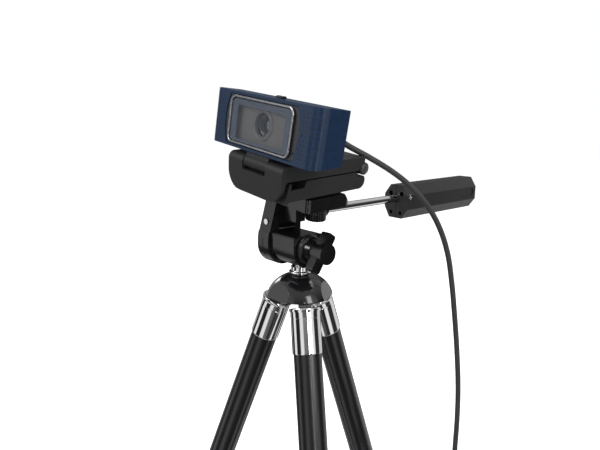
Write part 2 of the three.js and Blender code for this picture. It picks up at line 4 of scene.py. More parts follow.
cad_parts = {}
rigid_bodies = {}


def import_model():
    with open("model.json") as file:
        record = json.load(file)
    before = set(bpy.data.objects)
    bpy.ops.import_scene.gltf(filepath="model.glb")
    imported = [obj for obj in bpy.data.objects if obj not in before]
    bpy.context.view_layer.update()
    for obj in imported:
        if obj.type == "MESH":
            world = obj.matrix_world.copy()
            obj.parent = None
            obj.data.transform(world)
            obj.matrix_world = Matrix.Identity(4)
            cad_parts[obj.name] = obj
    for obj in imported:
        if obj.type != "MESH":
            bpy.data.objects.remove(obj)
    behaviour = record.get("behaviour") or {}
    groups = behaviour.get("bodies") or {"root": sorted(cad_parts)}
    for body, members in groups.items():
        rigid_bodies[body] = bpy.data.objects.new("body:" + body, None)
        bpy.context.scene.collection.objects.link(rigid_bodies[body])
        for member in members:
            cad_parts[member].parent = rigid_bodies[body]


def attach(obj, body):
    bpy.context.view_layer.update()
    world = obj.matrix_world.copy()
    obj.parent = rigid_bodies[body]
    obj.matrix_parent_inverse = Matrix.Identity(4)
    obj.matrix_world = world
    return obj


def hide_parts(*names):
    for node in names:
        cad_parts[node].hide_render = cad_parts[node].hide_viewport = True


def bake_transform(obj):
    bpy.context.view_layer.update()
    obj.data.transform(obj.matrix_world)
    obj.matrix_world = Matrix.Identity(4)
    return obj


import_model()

for n in ('Cube', 'Light', 'Camera'):
    if n in bpy.data.objects:
        bpy.data.objects.remove(bpy.data.objects[n])
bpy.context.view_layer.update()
D = math.pi / 180
MM = 0.001
OX, OY, CROWN_Z = 0.0, 83.385, 188.0


def T(x, y, z):
    return Matrix.Translation((x * MM, y * MM, z * MM))


def R(a, axis):
    return Matrix.Rotation(a * D, 4, axis)


STAND = T(-OX, -OY, CROWN_Z)
HEAD = STAND @ T(0, 0, 70) @ R(2.9, 'X') @ R(7.8, 'Y')
CLIP = HEAD @ T(-1.2, 0, 0)
CAM = HEAD @ T(-1.8, 0, 0) @ R(-6.6, 'X')
SPLAY = 19.65
LEG_AZ = {'a': 210, 'b': 330, 'c': 90}
LEG = {k: STAND @ T(16 * math.cos(a * D), 16 * math.sin(a * D), 0) @ R(a, 'Z') @ R(-SPLAY, 'Y') for k, a in LEG_AZ.items()}

# ------------------------------------------------------------------ camera
cam_data = bpy.data.cameras.new('camera')
cam_data.sensor_width = 36
cam_data.sensor_fit = 'HORIZONTAL'
cam_data.lens = 33.0
cam_data.clip_start = 0.01
camera = bpy.data.objects.new('camera', cam_data)
bpy.context.scene.collection.objects.link(camera)
d = Vector((-0.7357, 0.6463, -0.2028)).normalized()
r = d.cross(Vector((0, 0, 1))).normalized()
u = r.cross(d).normalized()
rot = Matrix.Rotation(-0.40 * D, 3, d)
r, u = rot @ r, rot @ u
camera.matrix_world = Matrix(((r.x, u.x, -d.x, (278.68 - OX) * MM), (r.y, u.y, -d.y, (-245.36 - OY) * MM), (r.z, u.z, -d.z, (128.5 + CROWN_Z) * MM), (0, 0, 0, 1)))
bpy.context.scene.camera = camera

# ------------------------------------------------------------------ materials
MATS = {}


def material(name, color, rough=0.4, metal=0.0, var=0.08, rvar=0.06, scale=400, bump=0.0, bump_scale=900, coat=0.0, coat_rough=0.05, alpha=1.0, spec=0.5, ior=1.5, aniso=0.0, streak=None, extra=None, trans=0.0):
    m = bpy.data.materials.new(name)
    m.use_nodes = True
    nt = m.node_tree
    b = nt.nodes['Principled BSDF']
    b.inputs['Metallic'].default_value = metal
    b.inputs['Specular IOR Level'].default_value = spec
    b.inputs['IOR'].default_value = ior
    b.inputs['Coat Weight'].default_value = coat
    b.inputs['Coat Roughness'].default_value = coat_rough
    b.inputs['Alpha'].default_value = alpha
    b.inputs['Anisotropic'].default_value = aniso
    b.inputs['Transmission Weight'].default_value = trans
    co = nt.nodes.new('ShaderNodeTexCoord')
    mp = nt.nodes.new('ShaderNodeMapping')
    mp.inputs['Scale'].default_value = streak or (1, 1, 1)
    nt.links.new(co.outputs['Object'], mp.inputs['Vector'])
    n1 = nt.nodes.new('ShaderNodeTexNoise')
    n1.inputs['Scale'].default_value = scale
    n1.inputs['Detail'].default_value = 5
    nt.links.new(mp.outputs['Vector'], n1.inputs['Vector'])
    ramp = nt.nodes.new('ShaderNodeValToRGB')
    c = list(color[:3])
    ramp.color_ramp.elements[0].position = 0.3
    ramp.color_ramp.elements[1].position = 0.7
    ramp.color_ramp.elements[0].color = [x * (1 - var) for x in c] + [1]
    ramp.color_ramp.elements[1].color = [min(1, x * (1 + var)) for x in c] + [1]
    nt.links.new(n1.outputs['Fac'], ramp.inputs['Fac'])
    nt.links.new(ramp.outputs['Color'], b.inputs['Base Color'])
    mr = nt.nodes.new('ShaderNodeMapRange')
    mr.inputs['From Min'].default_value = 0.3
    mr.inputs['From Max'].default_value = 0.7
    mr.inputs['To Min'].default_value = max(0.02, rough - rvar)
    mr.inputs['To Max'].default_value = min(1, rough + rvar)
    nt.links.new(n1.outputs['Fac'], mr.inputs['Value'])
    nt.links.new(mr.outputs['Result'], b.inputs['Roughness'])
    if bump > 0:
        n2 = nt.nodes.new('ShaderNodeTexNoise')
        n2.inputs['Scale'].default_value = bump_scale
        n2.inputs['Detail'].default_value = 3
        nt.links.new(mp.outputs['Vector'], n2.inputs['Vector'])
        bp = nt.nodes.new('ShaderNodeBump')
        bp.inputs['Strength'].default_value = bump
        bp.inputs['Distance'].default_value = 0.0002
        nt.links.new(n2.outputs['Fac'], bp.inputs['Height'])
        nt.links.new(bp.outputs['Normal'], b.inputs['Normal'])
    if extra:
        extra(nt, b, co, ramp)
    MATS[name] = m
    return m


material('navy', (0.0058, 0.0235, 0.064), rough=0.36, spec=0.32, var=0.05, bump=0.06, bump_scale=2600, coat=0.10, coat_rough=0.25)
# dot: near-black colour of the perforation discs, painted shade in place of the dark inside of real holes
material('dot', (0.002, 0.004, 0.010), rough=0.6)
material('band', (0.026, 0.027, 0.029), rough=0.40, bump=0.05, bump_scale=2400)
material('bezel', (0.36, 0.37, 0.39), rough=0.22, metal=1.0, rvar=0.04)
material('window', (0.20, 0.23, 0.27), rough=0.06, rvar=0.02, alpha=0.10, spec=0.5, coat=0.3, coat_rough=0.02)
material('window_frame', (0.050, 0.066, 0.100), rough=0.30, rvar=0.0, var=0.0, spec=0.4)
material('surround', (0.105, 0.098, 0.092), rough=0.42, bump=0.04, bump_scale=1500)
material('lens_black', (0.010, 0.010, 0.011), rough=0.3)
material('lens_ring', (0.045, 0.044, 0.043), rough=0.25, rvar=0.03)
material('lens_glass', (0.010, 0.012, 0.020), rough=0.04, rvar=0.01, coat=1.0, coat_rough=0.02, spec=0.9)
material('board', (0.03, 0.12, 0.05), rough=0.5)
material('back', (0.022, 0.022, 0.024), rough=0.5, bump=0.15, bump_scale=1600)
material('clip', (0.022, 0.022, 0.023), rough=0.50, spec=0.3, var=0.06, bump=0.10, bump_scale=2600)
material('cap', (0.05, 0.05, 0.052), rough=0.3)
material('pad', (0.022, 0.022, 0.022), rough=0.85, bump=0.25, bump_scale=1500)
material('head_black', (0.0065, 0.0065, 0.0075), rough=0.22, rvar=0.02, var=0.04, scale=80, bump=0.006, bump_scale=500, coat=0.25, coat_rough=0.10)
material('crown_black', (0.007, 0.007, 0.008), rough=0.17, rvar=0.04, var=0.05, bump=0.02, bump_scale=300, coat=0.5, coat_rough=0.06)
material('chrome', (0.80, 0.80, 0.81), rough=0.07, rvar=0.025, metal=1.0, var=0.02, scale=120)
material('steel', (0.52, 0.52, 0.53), rough=0.28, rvar=0.07, metal=1.0, var=0.05, streak=(1, 1, 8))
material('brass', (0.62, 0.44, 0.17), rough=0.25, metal=1.0)
material('leg_black', (0.0095, 0.0095, 0.0105), rough=0.26, rvar=0.01, var=0.03, scale=60, coat=0.15, coat_rough=0.25)
material('leg_silver', (0.60, 0.60, 0.62), rough=0.22, rvar=0.05, metal=1.0, var=0.03, streak=(1, 1, 0.05))
material('foot', (0.020, 0.020, 0.021), rough=0.8, bump=0.3, bump_scale=1200)
material('grip', (0.011, 0.011, 0.012), rough=0.40, rvar=0.06, bump=0.12, bump_scale=2200)
material('cable', (0.040, 0.040, 0.043), rough=0.42, rvar=0.05, bump=0.06, bump_scale=1800)
material('hole', (0.002, 0.002, 0.002), rough=0.9)


def strap(nt, b, co, ramp):
    w = nt.nodes.new('ShaderNodeTexWave')
    w.inputs['Scale'].default_value = 700
    w.inputs['Distortion'].default_value = 1
    nt.links.new(co.outputs['Object'], w.inputs['Vector'])
    bp = nt.nodes.new('ShaderNodeBump')
    bp.inputs['Strength'].default_value = 0.6
    bp.inputs['Distance'].default_value = 0.0003
    nt.links.new(w.outputs['Fac'], bp.inputs['Height'])
    nt.links.new(bp.outputs['Normal'], b.inputs['Normal'])


material('strap', (0.018, 0.018, 0.018), rough=0.9, extra=strap)

# ------------------------------------------------------------------ mesh helpers (local millimetres)


def mk(verts, faces, name='tmp'):
    me = bpy.data.meshes.new(name)
    me.from_pydata([tuple(c * MM for c in v) for v in verts], [], faces)
    me.validate()
    bm = bmesh.new(); bm.from_mesh(me)
    bmesh.ops.remove_doubles(bm, verts=bm.verts, dist=1e-7)
    bmesh.ops.dissolve_degenerate(bm, edges=bm.edges, dist=1e-7)
    bmesh.ops.recalc_face_normals(bm, faces=bm.faces)
    bm.to_mesh(me); bm.free()
    o = bpy.data.objects.new(name, me)
    bpy.context.scene.collection.objects.link(o)
    return o


def box(x0, x1, y0, y1, z0, z1):
    v = [(x, y, z) for x in (x0, x1) for y in (y0, y1) for z in (z0, z1)]
    return mk(v, [(0, 1, 3, 2), (4, 6, 7, 5), (0, 4, 5, 1), (2, 3, 7, 6), (0, 2, 6, 4), (1, 5, 7, 3)])


def swap(axis, u, v, w):  # outline (u, v) at station w along the axis
    return {'x': (w, u, v), 'y': (u, w, v), 'z': (u, v, w)}[axis]


def cyl(axis, r0, a, b, p, q, n=48, r1=None):
    r1 = r0 if r1 is None else r1
    v = []
    for st, rr in ((a, r0), (b, r1)):
        for i in range(n):
            t = 2 * math.pi * i / n
            v.append(swap(axis, p + rr * math.cos(t), q + rr * math.sin(t), st))
    return mk(v, [tuple(range(n))[::-1], tuple(range(n, 2 * n))] + [(i, (i + 1) % n, n + (i + 1) % n, n + i) for i in range(n)])


def turned(pts, n=72):  # closed profile, or one that starts and ends on the axis, about Z
    closed = tuple(pts[0]) == tuple(pts[-1])
    if closed:
        pts = pts[:-1]
    v, f, rings = [], [], []
    for rr, z in pts:
        if rr < 1e-6:
            rings.append([len(v)]); v.append((0, 0, z))
        else:
            rings.append(list(range(len(v), len(v) + n)))
            v += [(rr * math.cos(2 * math.pi * i / n), rr * math.sin(2 * math.pi * i / n), z) for i in range(n)]
    m = len(rings)
    for k in range(m if closed else m - 1):
        A, B = rings[k], rings[(k + 1) % m]
        for i in range(n):
            j = (i + 1) % n
            if len(A) == 1 and len(B) == 1:
                continue
            if len(A) == 1:
                f.append((A[0], B[i], B[j]))
            elif len(B) == 1:
                f.append((A[i], A[j], B[0]))
            else:
                f.append((A[i], A[j], B[j], B[i]))
    return mk(v, f)


def prism(axis, pts, a, b):
    n = len(pts)
    v = [swap(axis, p[0], p[1], a) for p in pts] + [swap(axis, p[0], p[1], b) for p in pts]
    return mk(v, [tuple(range(n))[::-1], tuple(range(n, 2 * n))] + [(i, (i + 1) % n, n + (i + 1) % n, n + i) for i in range(n)])


def arc(cx, cy, rr, a0, a1, n):
    return [(cx + rr * math.cos((a0 + (a1 - a0) * i / n) * D), cy + rr * math.sin((a0 + (a1 - a0) * i / n) * D)) for i in range(n + 1)]


def rrect(x0, x1, y0, y1, rad, n=10):
    a, b, c, e = rad if isinstance(rad, (list, tuple)) else [rad] * 4

    def k(cx, cy, rr, s):
        return arc(cx, cy, rr, s, s + 90, n) if rr > 0 else [(cx, cy)]
    return k(x0 + a, y0 + a, a, 180) + k(x1 - b, y0 + b, b, 270) + k(x1 - c, y1 - c, c, 0) + k(x0 + e, y1 - e, e, 90)


def bake(o):
    dg = bpy.context.evaluated_depsgraph_get()
    dg.update()
    me = bpy.data.meshes.new_from_object(o.evaluated_get(dg))
    old = o.data
    o.modifiers.clear()
    o.data = me
    if old.users == 0:
        bpy.data.meshes.remove(old)
    return o


def boolean(a, op, *tools):
    for t in tools:
        m = a.modifiers.new('b', 'BOOLEAN')
        m.operation = op
        m.object = t
        m.solver = 'EXACT'
        bpy.context.view_layer.update()
        bake(a)
        me = t.data
        bpy.data.objects.remove(t)
        if me.users == 0:
            bpy.data.meshes.remove(me)
    return a


def cut(a, *t):
    return boolean(a, 'DIFFERENCE', *t)


def join(a, *t):
    return boolean(a, 'UNION', *t)


def both(a, *t):
    return boolean(a, 'INTERSECT', *t)


def tf(o, m):
    o.data.transform(m)
    return o


def done(o, name, mat, where, body, nodes=(), bevel=0.4, seg=3, angle=32, sharp=None):
    o.name = name
    o.data.name = name
    if bevel > 0:
        m = o.modifiers.new('bevel', 'BEVEL')
        m.width = bevel * MM
        m.segments = seg
        m.limit_method = 'ANGLE'
        m.angle_limit = angle * D
        m.miter_outer = 'MITER_ARC'
        m.use_clamp_overlap = True
        bake(o)
    me = o.data
    me.shade_smooth()
    me.set_sharp_from_angle(angle=(sharp or 38) * D)
    w = o.modifiers.new('wn', 'WEIGHTED_NORMAL')
    w.keep_sharp = True
    w.weight = 80
    bake(o)
    o.data.name = name
    o.data.materials.clear()
    for mm in ([mat] if isinstance(mat, str) else mat):
        o.data.materials.append(MATS[mm])
    o.data.transform(where)
    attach(o, body)
    if nodes:
        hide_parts(*nodes)
    return o


# ------------------------------------------------------------------ the cable comes first
CORD_R = 2.0
Z0 = -CROWN_Z


def pt(m, p):
    return m @ Vector([c * MM for c in p])


exit_pt = pt(CAM, (13.8, -21 + 21.3, 46))
ROUTE = [(19.2, 11.5, 112.2), (21.8, 23.6, 105.6), (27.9, 37.6, 97.8), (34.2, 51.2, 89.3), (39.4, 62.4, 80.8), (44.3, 72.7, 70.6), (48.5, 81.9, 58.8), (52.3, 90, 43.8), (55.3, 96.4, 25.4),
         (57.3, 100.7, 3.8), (59.3, 104.9, -24.9), (61, 108.7, -54.5), (62.3, 111.4, -83.3), (62.8, 112.4, -109.2), (62.8, 112.4, -138.6), (63.3, 112, -160), (67.5, 108.9, -175.5), (76, 102.2, -183.6), (87, 93.5, -185.8), (95.5, 87.1, -185.9), (98.6, 84.7, -185.9)]
CX, CY = 79.4, 55.4


def ease(t):
    t = min(1, max(0, t))
    return t * t * (3 - 2 * t)


def coil_points():
    pts = []
    start = 56.8
    total = 360 * 6 + (start - 180 + 360)
    s = 8.0
    while s < total + 1e-6:
        turn, a = int(s // 360), s % 360
        rr, z = [(30.3, 3.55), (26, 3.55), (21.7, 3.55), (21.7, 7.6), (26, 7.6), (30.3, 7.6), (30.3, 11.65)][turn]
        if turn == 0:
            rr += (35.0 - 30.3) * (1 - ease(a / 55)); z = 2.1 + (3.55 - 2.1) * ease(a / 55)
        if turn in (0, 1):
            rr -= 4.3 * ease((a - 328) / 28)
        if turn == 2:
            z += 4.05 * ease((a - 298) / 28)
        if turn in (3, 4):
            rr += 4.3 * ease((a - 268) / 28)
        if turn == 5:
            z += 4.05 * ease((a - 238) / 28)
        if turn == 6:
            rr += 4.35 * ease((a - 170) / 40)
            z -= 4.0 * ease((a - 205) / 60)
        th = (start - s) * D
        pts.append((CX + rr * math.cos(th), CY + rr * math.sin(th), Z0 + z))
        s += 10
    tx = CX - 32.3 - CORD_R - 0.35
    for k, z in ((6, 7.0), (12, 5.0), (18, 4.2), (24, 4.0), (30.5, 4.0)):
        pts.append((tx, CY + k, Z0 + z))
    return pts


def spline(points, step):
    """centripetal Catmull-Rom through the points, resampled evenly"""
    P = [Vector(p) for p in points]
    P = [P[0] * 2 - P[1]] + P + [P[-1] * 2 - P[-2]]
    dense = []
    for i in range(1, len(P) - 2):
        p0, p1, p2, p3 = P[i - 1:i + 3]
        t0 = 0; t1 = t0 + max(1e-4, (p1 - p0).length) ** 0.5; t2 = t1 + (p2 - p1).length ** 0.5; t3 = t2 + max(1e-4, (p3 - p2).length) ** 0.5
        n = max(3, int((p2 - p1).length / 0.6))
        for k in range(n):
            t = t1 + (t2 - t1) * k / n
            a1 = p0 * ((t1 - t) / (t1 - t0)) + p1 * ((t - t0) / (t1 - t0))
            a2 = p1 * ((t2 - t) / (t2 - t1)) + p2 * ((t - t1) / (t2 - t1))
            a3 = p2 * ((t3 - t) / (t3 - t2)) + p3 * ((t - t2) / (t3 - t2))
            b1 = a1 * ((t2 - t) / (t2 - t0)) + a2 * ((t - t0) / (t2 - t0))
            b2 = a2 * ((t3 - t) / (t3 - t1)) + a3 * ((t - t1) / (t3 - t1))
            dense.append(b1 * ((t2 - t) / (t2 - t1)) + b2 * ((t - t1) / (t2 - t1)))
    dense.append(P[-2])
    L = [0.0]
    for a, b in zip(dense, dense[1:]):
        L.append(L[-1] + (b - a).length)
    out, j = [], 0
    n = max(2, round(L[-1] / step))
    for k in range(n + 1):
        s = L[-1] * k / n
        while j < len(L) - 2 and L[j + 1] < s:
            j += 1
        f = (s - L[j]) / max(1e-9, L[j + 1] - L[j])
        out.append(dense[j].lerp(dense[j + 1], min(1, max(0, f))))
    return out, L[-1]


row = STAND
pts_mm = [tuple((row.inverted() @ exit_pt) / MM)] + ROUTE + coil_points()
LINE, LENGTH = spline(pts_mm, 1.5)
LINE = [row @ (p * MM) for p in LINE]
STEP = LENGTH / (len(LINE) - 1)

# one frame carried along the whole line, so that neighbouring stretches share their end rings
FR = []
tan0 = (LINE[1] - LINE[0]).normalized()
nrm = tan0.cross(Vector((0, 0, 1))).normalized()
for i, p in enumerate(LINE):
    tg = (LINE[min(i + 1, len(LINE) - 1)] - LINE[max(i - 1, 0)]).normalized()
    nrm = (nrm - tg * nrm.dot(tg)).normalized()
    FR.append((p, nrm.copy(), tg.cross(nrm).normalized()))


def tube(name, i0, i1, n=20, cap0=False, cap1=False):
    verts, faces = [], []
    rng = FR[i0:i1 + 1]
    for p, a, b in rng:
        for k in range(n):
            t = 2 * math.pi * k / n
            verts.append(p + (a * math.cos(t) + b * math.sin(t)) * CORD_R * MM)
    for i in range(len(rng) - 1):
        for k in range(n):
            j = (k + 1) % n
            faces.append((i * n + k, i * n + j, (i + 1) * n + j, (i + 1) * n + k))
    if cap0:
        faces.append(tuple(range(n))[::-1])
    if cap1:
        faces.append(tuple(range((len(rng) - 1) * n, len(rng) * n)))
    me = bpy.data.meshes.new(name)
    me.from_pydata(verts, [], faces)
    bm = bmesh.new(); bm.from_mesh(me)
    bmesh.ops.recalc_face_normals(bm, faces=bm.faces)
    bm.to_mesh(me); bm.free()
    me.shade_smooth()
    o = bpy.data.objects.new(name, me)
    bpy.context.scene.collection.objects.link(o)
    me.materials.append(MATS['cable'])
    return o


LEN = 0.032
marks = [0] + [round(k * LEN * 1000 / STEP) for k in range(1, 6)] + [len(LINE) - 1]
cords = []
for k in range(6):
    i0, i1 = marks[k], marks[k + 1]
    nm = f'cable_stretch_{k + 1}' if k < 5 else 'cable_main'
    o = tube(nm, i0, i1, cap0=(k == 0), cap1=(k == 5))
    a, b = LINE[i0], LINE[i1]
    if k < 5:
        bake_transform(o)
    else:
        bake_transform(o)
    cords.append((o, i0, i1))
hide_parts('cable_coil', 'cable_tail')
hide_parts('cable_tube')

# ------------------------------------------------------------------ plug, tie and strain relief
tx = CX - 32.3 - CORD_R - 0.35
zc = Z0
pb = join(prism('y', rrect(tx - 8, tx + 8, zc + 0.1, zc + 8.1, 2.6, 8), CY + 33, CY + 54), cyl('y', 2.7, CY + 22.3, CY + 34, tx, zc + 4.1, 40, 3.9))
pb = cut(pb, box(tx - 5.6, tx + 5.6, CY + 48, CY + 60, zc + 2.2, zc + 6.2), *[box(tx - 9, tx + 9, CY + y, CY + y + 0.8, zc + 7.7, zc + 9) for y in (36, 38.4, 40.8)])
plug_body = done(pb, 'usb_plug_grip', 'cable', STAND, 'stand', ['usb_plug_body'], bevel=0.35)
ps = cut(box(tx - 5.4, tx + 5.4, CY + 48.3, CY + 66, zc + 2.4, zc + 6.0), box(tx - 5.05, tx + 5.05, CY + 55, CY + 70, zc + 2.75, zc + 5.65))
ps = cut(ps, box(tx - 3.6, tx - 1.5, CY + 59, CY + 61.4, zc + 5, zc + 7), box(tx + 1.5, tx + 3.6, CY + 59, CY + 61.4, zc + 5, zc + 7))
plug_shell = done(ps, 'usb_plug_sleeve', 'steel', STAND, 'stand', ['usb_plug_shell'], bevel=0.12, seg=2)
done(box(tx - 4.9, tx + 4.9, CY + 54.4, CY + 65, zc + 2.8, zc + 4.4), 'usb_plug_tongue', 'lens_black', STAND, 'stand', (), bevel=0.1, seg=2)
ro, ri = 32.3, 19.7
out = rrect(ri - 1.5, ro + 1.5, 0.05, 15.0, 2.4, 8)
inn = rrect(ri - 0.5, ro + 0.5, 1.05, 14.1, 1.8, 8)
st = cut(prism('y', out, -4.5, 4.5), prism('y', inn, -9, 9))
st = join(st, prism('y', [(ro + 1.2, 5), (ro + 2.3, 5.2), (ro + 2.3, 11.6), (ro + 1.2, 12)], -4.5, 4.5))
tie = done(st, 'cable_strap', 'strap', STAND @ T(CX, CY, zc) @ R(-60, 'Z'), 'stand', ['cable_tie'], bevel=0.3, seg=2)

prof = [(0, 0), (2.9, 0), (2.9, 1.6), (4.4, 2.1), (4.4, 3.6), (4.1, 4.0)]
for i in range(5):
    z = 4.6 + i * 2.05
    rr = 4.0 - i * 0.22
    prof += [(rr, z), (rr - 0.05, z + 1.1), (rr - 0.75, z + 1.3), (rr - 0.75, z + 1.75)]
prof += [(2.8, 14.9), (2.3, 15.0), (2.05, 14.9), (2.05, 9), (0, 9)]
srm = tf(turned(prof, 48), R(-90, 'X'))
relief = done(srm, 'cable_boot', 'cable', CAM @ T(13.8, -21 + 6.0, 46), 'webcam', ['strain_relief'], bevel=0)

for k, (o, i0, i1) in enumerate(cords):
    a = LINE[i0]
print('cable length mm', LENGTH, 'stretches', [round(STEP * (b - a), 1) for _, a, b in cords])

# ------------------------------------------------------------------ legs and crown
ca, sa = math.cos(SPLAY * D), math.sin(SPLAY * D)
pivR, pivZ = 16 - 7 * sa, 7 * ca
prof = [(0, 1.5), (21.8, 1.5), (23.1, 2.3)]
for i in range(29):
    a = 14 + i * 72 / 28
    rr = 24 * math.cos(a * D)
    if rr > 7.4:
        prof.append((rr, -2 + 20 * math.sin(a * D)))
prof += [(7.2, 17.3), (6.9, 17.5), (0, 17.5)]
crown = turned(prof, 120)
for az in (30, 150, 270):
    crown = cut(crown, tf(box(20.2, 40, -30, 30, -30, 30), R(az, 'Z') @ R(-24, 'Y')))
for az in LEG_AZ.values():
    crown = cut(crown, tf(prism('y', arc(pivR, pivZ, 4.9, 20, 180, 16) + [(pivR - 4.9, -6), (23.1, -6)], -4.3, 4.3), R(az, 'Z')))
    crown = cut(crown, tf(cyl('y', 1.8, -8.5, 8.5, pivR, pivZ, 24), R(az, 'Z')))
crown = cut(crown, cyl('z', 5.8, 8.8, 30, 0, 0, 48))
done(crown, 'crown_dome', 'crown_black', STAND, 'stand', ['crown'], bevel=0.7, seg=3, angle=14, sharp=60)
done(turned([(0, 9.1), (5.5, 9.1), (5.5, 18.0), (7.4, 18.1), (7.9, 18.5), (7.9, 19.1), (7.5, 19.5), (6.7, 19.8), (6.6, 20.1), (6.6, 22.6), (4, 22.6), (4, 31.2), (0, 31.2)], 64), 'neck_post', 'chrome', STAND, 'stand', ['neck_column'], bevel=0.15, seg=2)

for k, az in LEG_AZ.items():
    L, body, inner = LEG[k], f'leg {k}', f'leg {k} inner'
    done(tf(cyl('y', 1.5, -8, 8, pivR, pivZ, 32), R(az, 'Z')), f'pin_{k}', 'steel', STAND, 'stand', [f'leg_{k}_pivot_pin'], bevel=0.25, seg=2)
    t = join(box(-4.2, 4.2, -3.8, 3.8, -8.2, 7), cyl('y', 4.2, -3.8, 3.8, 0, 7, 40), cyl('z', 7.7, -25, -7.7, 0, 0, 48))
    done(cut(t, cyl('y', 1.8, -5, 5, 0, 7, 24)), f'tang_{k}', 'head_black', L, body, [f'leg_{k}_tang'], bevel=0.4)
    done(turned([(6.1, -3.5), (9.4, -2.7), (10.2, -2.6), (10.7, -2.8), (10.95, -3.4), (10.9, -4.2), (10.5, -4.9), (10.2, -5.5), (10.2, -8.6), (10.05, -8.9), (10.05, -9.4), (10.2, -9.7), (10.2, -32.3), (10.1, -32.8), (9.95, -33),
                 (9.8, -33), (9.8, -7.3), (6.1, -7.3), (6.1, -3.5)], 96), f'collar_{k}', 'chrome', L, body, [f'leg_{k}_collar'], bevel=0)
    done(turned([(9.5, -7.7), (9.5, -167.2), (9.2, -168), (8.1, -168), (8.1, -7.7), (9.5, -7.7)], 80), f'tube_{k}', 'leg_black', L, body, [f'leg_{k}_tube'], bevel=0)
    done(turned([(7.7, -48), (7.7, -182), (6.5, -182), (6.5, -48), (7.7, -48)], 64), f'inner_{k}', 'leg_silver', L, inner, [f'leg_{k}_inner_tube'], bevel=0.2, seg=2)
    ball = [(8.3 * math.cos(a * D), -190.8 + 8.3 * math.sin(a * D)) for a in [-90 + i * 7.5 for i in range(13)]]
    ball[0] = (0, -199.1)
    done(turned(ball + [(9.25, -185), (9.35, -181), (8.75, -180.6), (8.75, -179.8), (9.4, -179.4), (9.45, -176.6), (8.85, -176.2), (8.85, -175.4), (9.5, -175), (9.5, -170.4), (9.2, -169), (8.8, -168.6), (8, -168.6), (8, -182.4), (0, -182.4)], 64),
         f'foot_{k}', 'foot', L, inner, [f'leg_{k}_foot'], bevel=0)

# ------------------------------------------------------------------ pan and tilt head
TZ = 36
yo = arc(0, TZ, 13, 180, 360, 48) + [(13, 44.4), (12.2, 45.3), (-12.2, 45.3), (-13, 44.4)]
y = cut(prism('x', yo, -16.6, 8), cyl('x', 3.35, -30, 30, 0, TZ, 40), cyl('z', 4.3, 10, 31.6, 0, 0, 40))
y = cut(y, prism('x', arc(0, TZ, 11.6, 190, 350, 40) + arc(0, TZ, 10.4, 350, 190, 40), 7.4, 9))
done(y, 'yoke', 'head_black', STAND, 'pan head', ['pan_yoke'], bevel=0.8, seg=4, angle=35)
done(cut(turned([(0, 8.3), (10.2, 8.3), (10.6, 8.7), (10.6, 9.6), (9.9, 10.1), (9.9, 10.6), (9.4, 11.1), (8.6, 11.2), (7.9, 11.6), (0, 11.6)], 72), cyl('z', 3.35, 0, 20, 0, 0, 40)), 'disc', 'head_black', STAND @ T(0, 0, TZ) @ R(90, 'Y'), 'pan head', ['tension_disc'], bevel=0.2, seg=2)
A0, A1, FX, FZ_ = -29, -17, -23, 52
b = prism('x', arc(0, TZ, 15.4, 185, 360, 48) + [(13.6, 45.4), (-14.4, 45.4), (-15.3, 40)], A0, A1)
ear = prism('x', [(-14.2, 44), (-5.2, 44), (-5.2, 67.4), (-7.3, 67.4)], A0, A1)
b = join(b, ear, box(A0, A1, 9, 15, 44, FZ_), cyl('y', 6, 9, 15, FX, FZ_, 48),
         prism('x', [(13.2, 40), (13.6, 45.4), (15, 50), (12, 50), (9, 44)], A0, A1))
b = cut(b, cyl('x', 3.35, -40, 0, 0, TZ, 40), cyl('y', 2, -20, 20, FX, FZ_, 32), cyl('y', 2.4, -20, -10.4, FX, FZ_, 40), cyl('x', 6.5, -30, -26.2, 0, TZ, 6))
b = cut(b, cut(cyl('x', 15.9, -23.2, -22.7, 0, TZ, 80), cyl('x', 14.9, -24, -22, 0, TZ, 80)))
done(b, 'side_bracket', 'head_black', STAND, 'tilt bracket', ['tilt_bracket'], bevel=0.6, seg=3, angle=35)
done(join(cyl('x', 3, -28, 25, 0, TZ, 40), cyl('x', 6.1, -28.6, -26.5, 0, TZ, 6)), 'bolt', 'chrome', STAND, 'tilt bracket', ['tilt_bolt'], bevel=0.3, seg=2)
done(join(cyl('y', 1.7, -12, 15.6, FX, FZ_, 32), cyl('y', 2.1, -12.6, -10.7, FX, FZ_, 40), cyl('y', 2.6, 15.3, 16, FX, FZ_, 40)), 'portrait_pin', 'chrome', STAND, 'tilt bracket', ['flip_hinge_pin'], bevel=0.25, seg=3)
dy, dz = 0.553, 0.833
blade = prism('z', rrect(-4, 4, -14.2, 14.2, 1.8, 8), -3.2, 3.2)
blade = cut(blade, prism('z', rrect(-2.4, 2.4, 8.2, 12.6, 0.9, 6), 2.6, 5), prism('z', rrect(-2.4, 2.4, -12.6, -8.2, 0.9, 6), 2.6, 5))
tf(blade, Matrix(((0, 0, 1, 20.4 * MM), (dz, dy, 0, 0), (-dy, dz, 0, TZ * MM), (0, 0, 0, 1))))
k_ = join(cyl('x', 5.8, 12, 27.6, 0, TZ, 56), cyl('x', 7.6, 12, 15.5, 0, TZ, 56, 6.4), blade, cyl('x', 7.1, 23.2, 27.6, 0, TZ, 64))
k_ = cut(k_, cyl('x', 3.35, 10, 25.2, 0, TZ, 40), cut(cyl('x', 5.6, 26.9, 30, 0, TZ, 48), cyl('x', 3.4, 26, 31, 0, TZ, 48)), cyl('x', 2.0, 26.4, 31, 0, TZ, 40))
done(k_, 'wing', 'head_black', STAND, 'wing knob', ['wing_knob'], bevel=0.5, seg=3, angle=35)

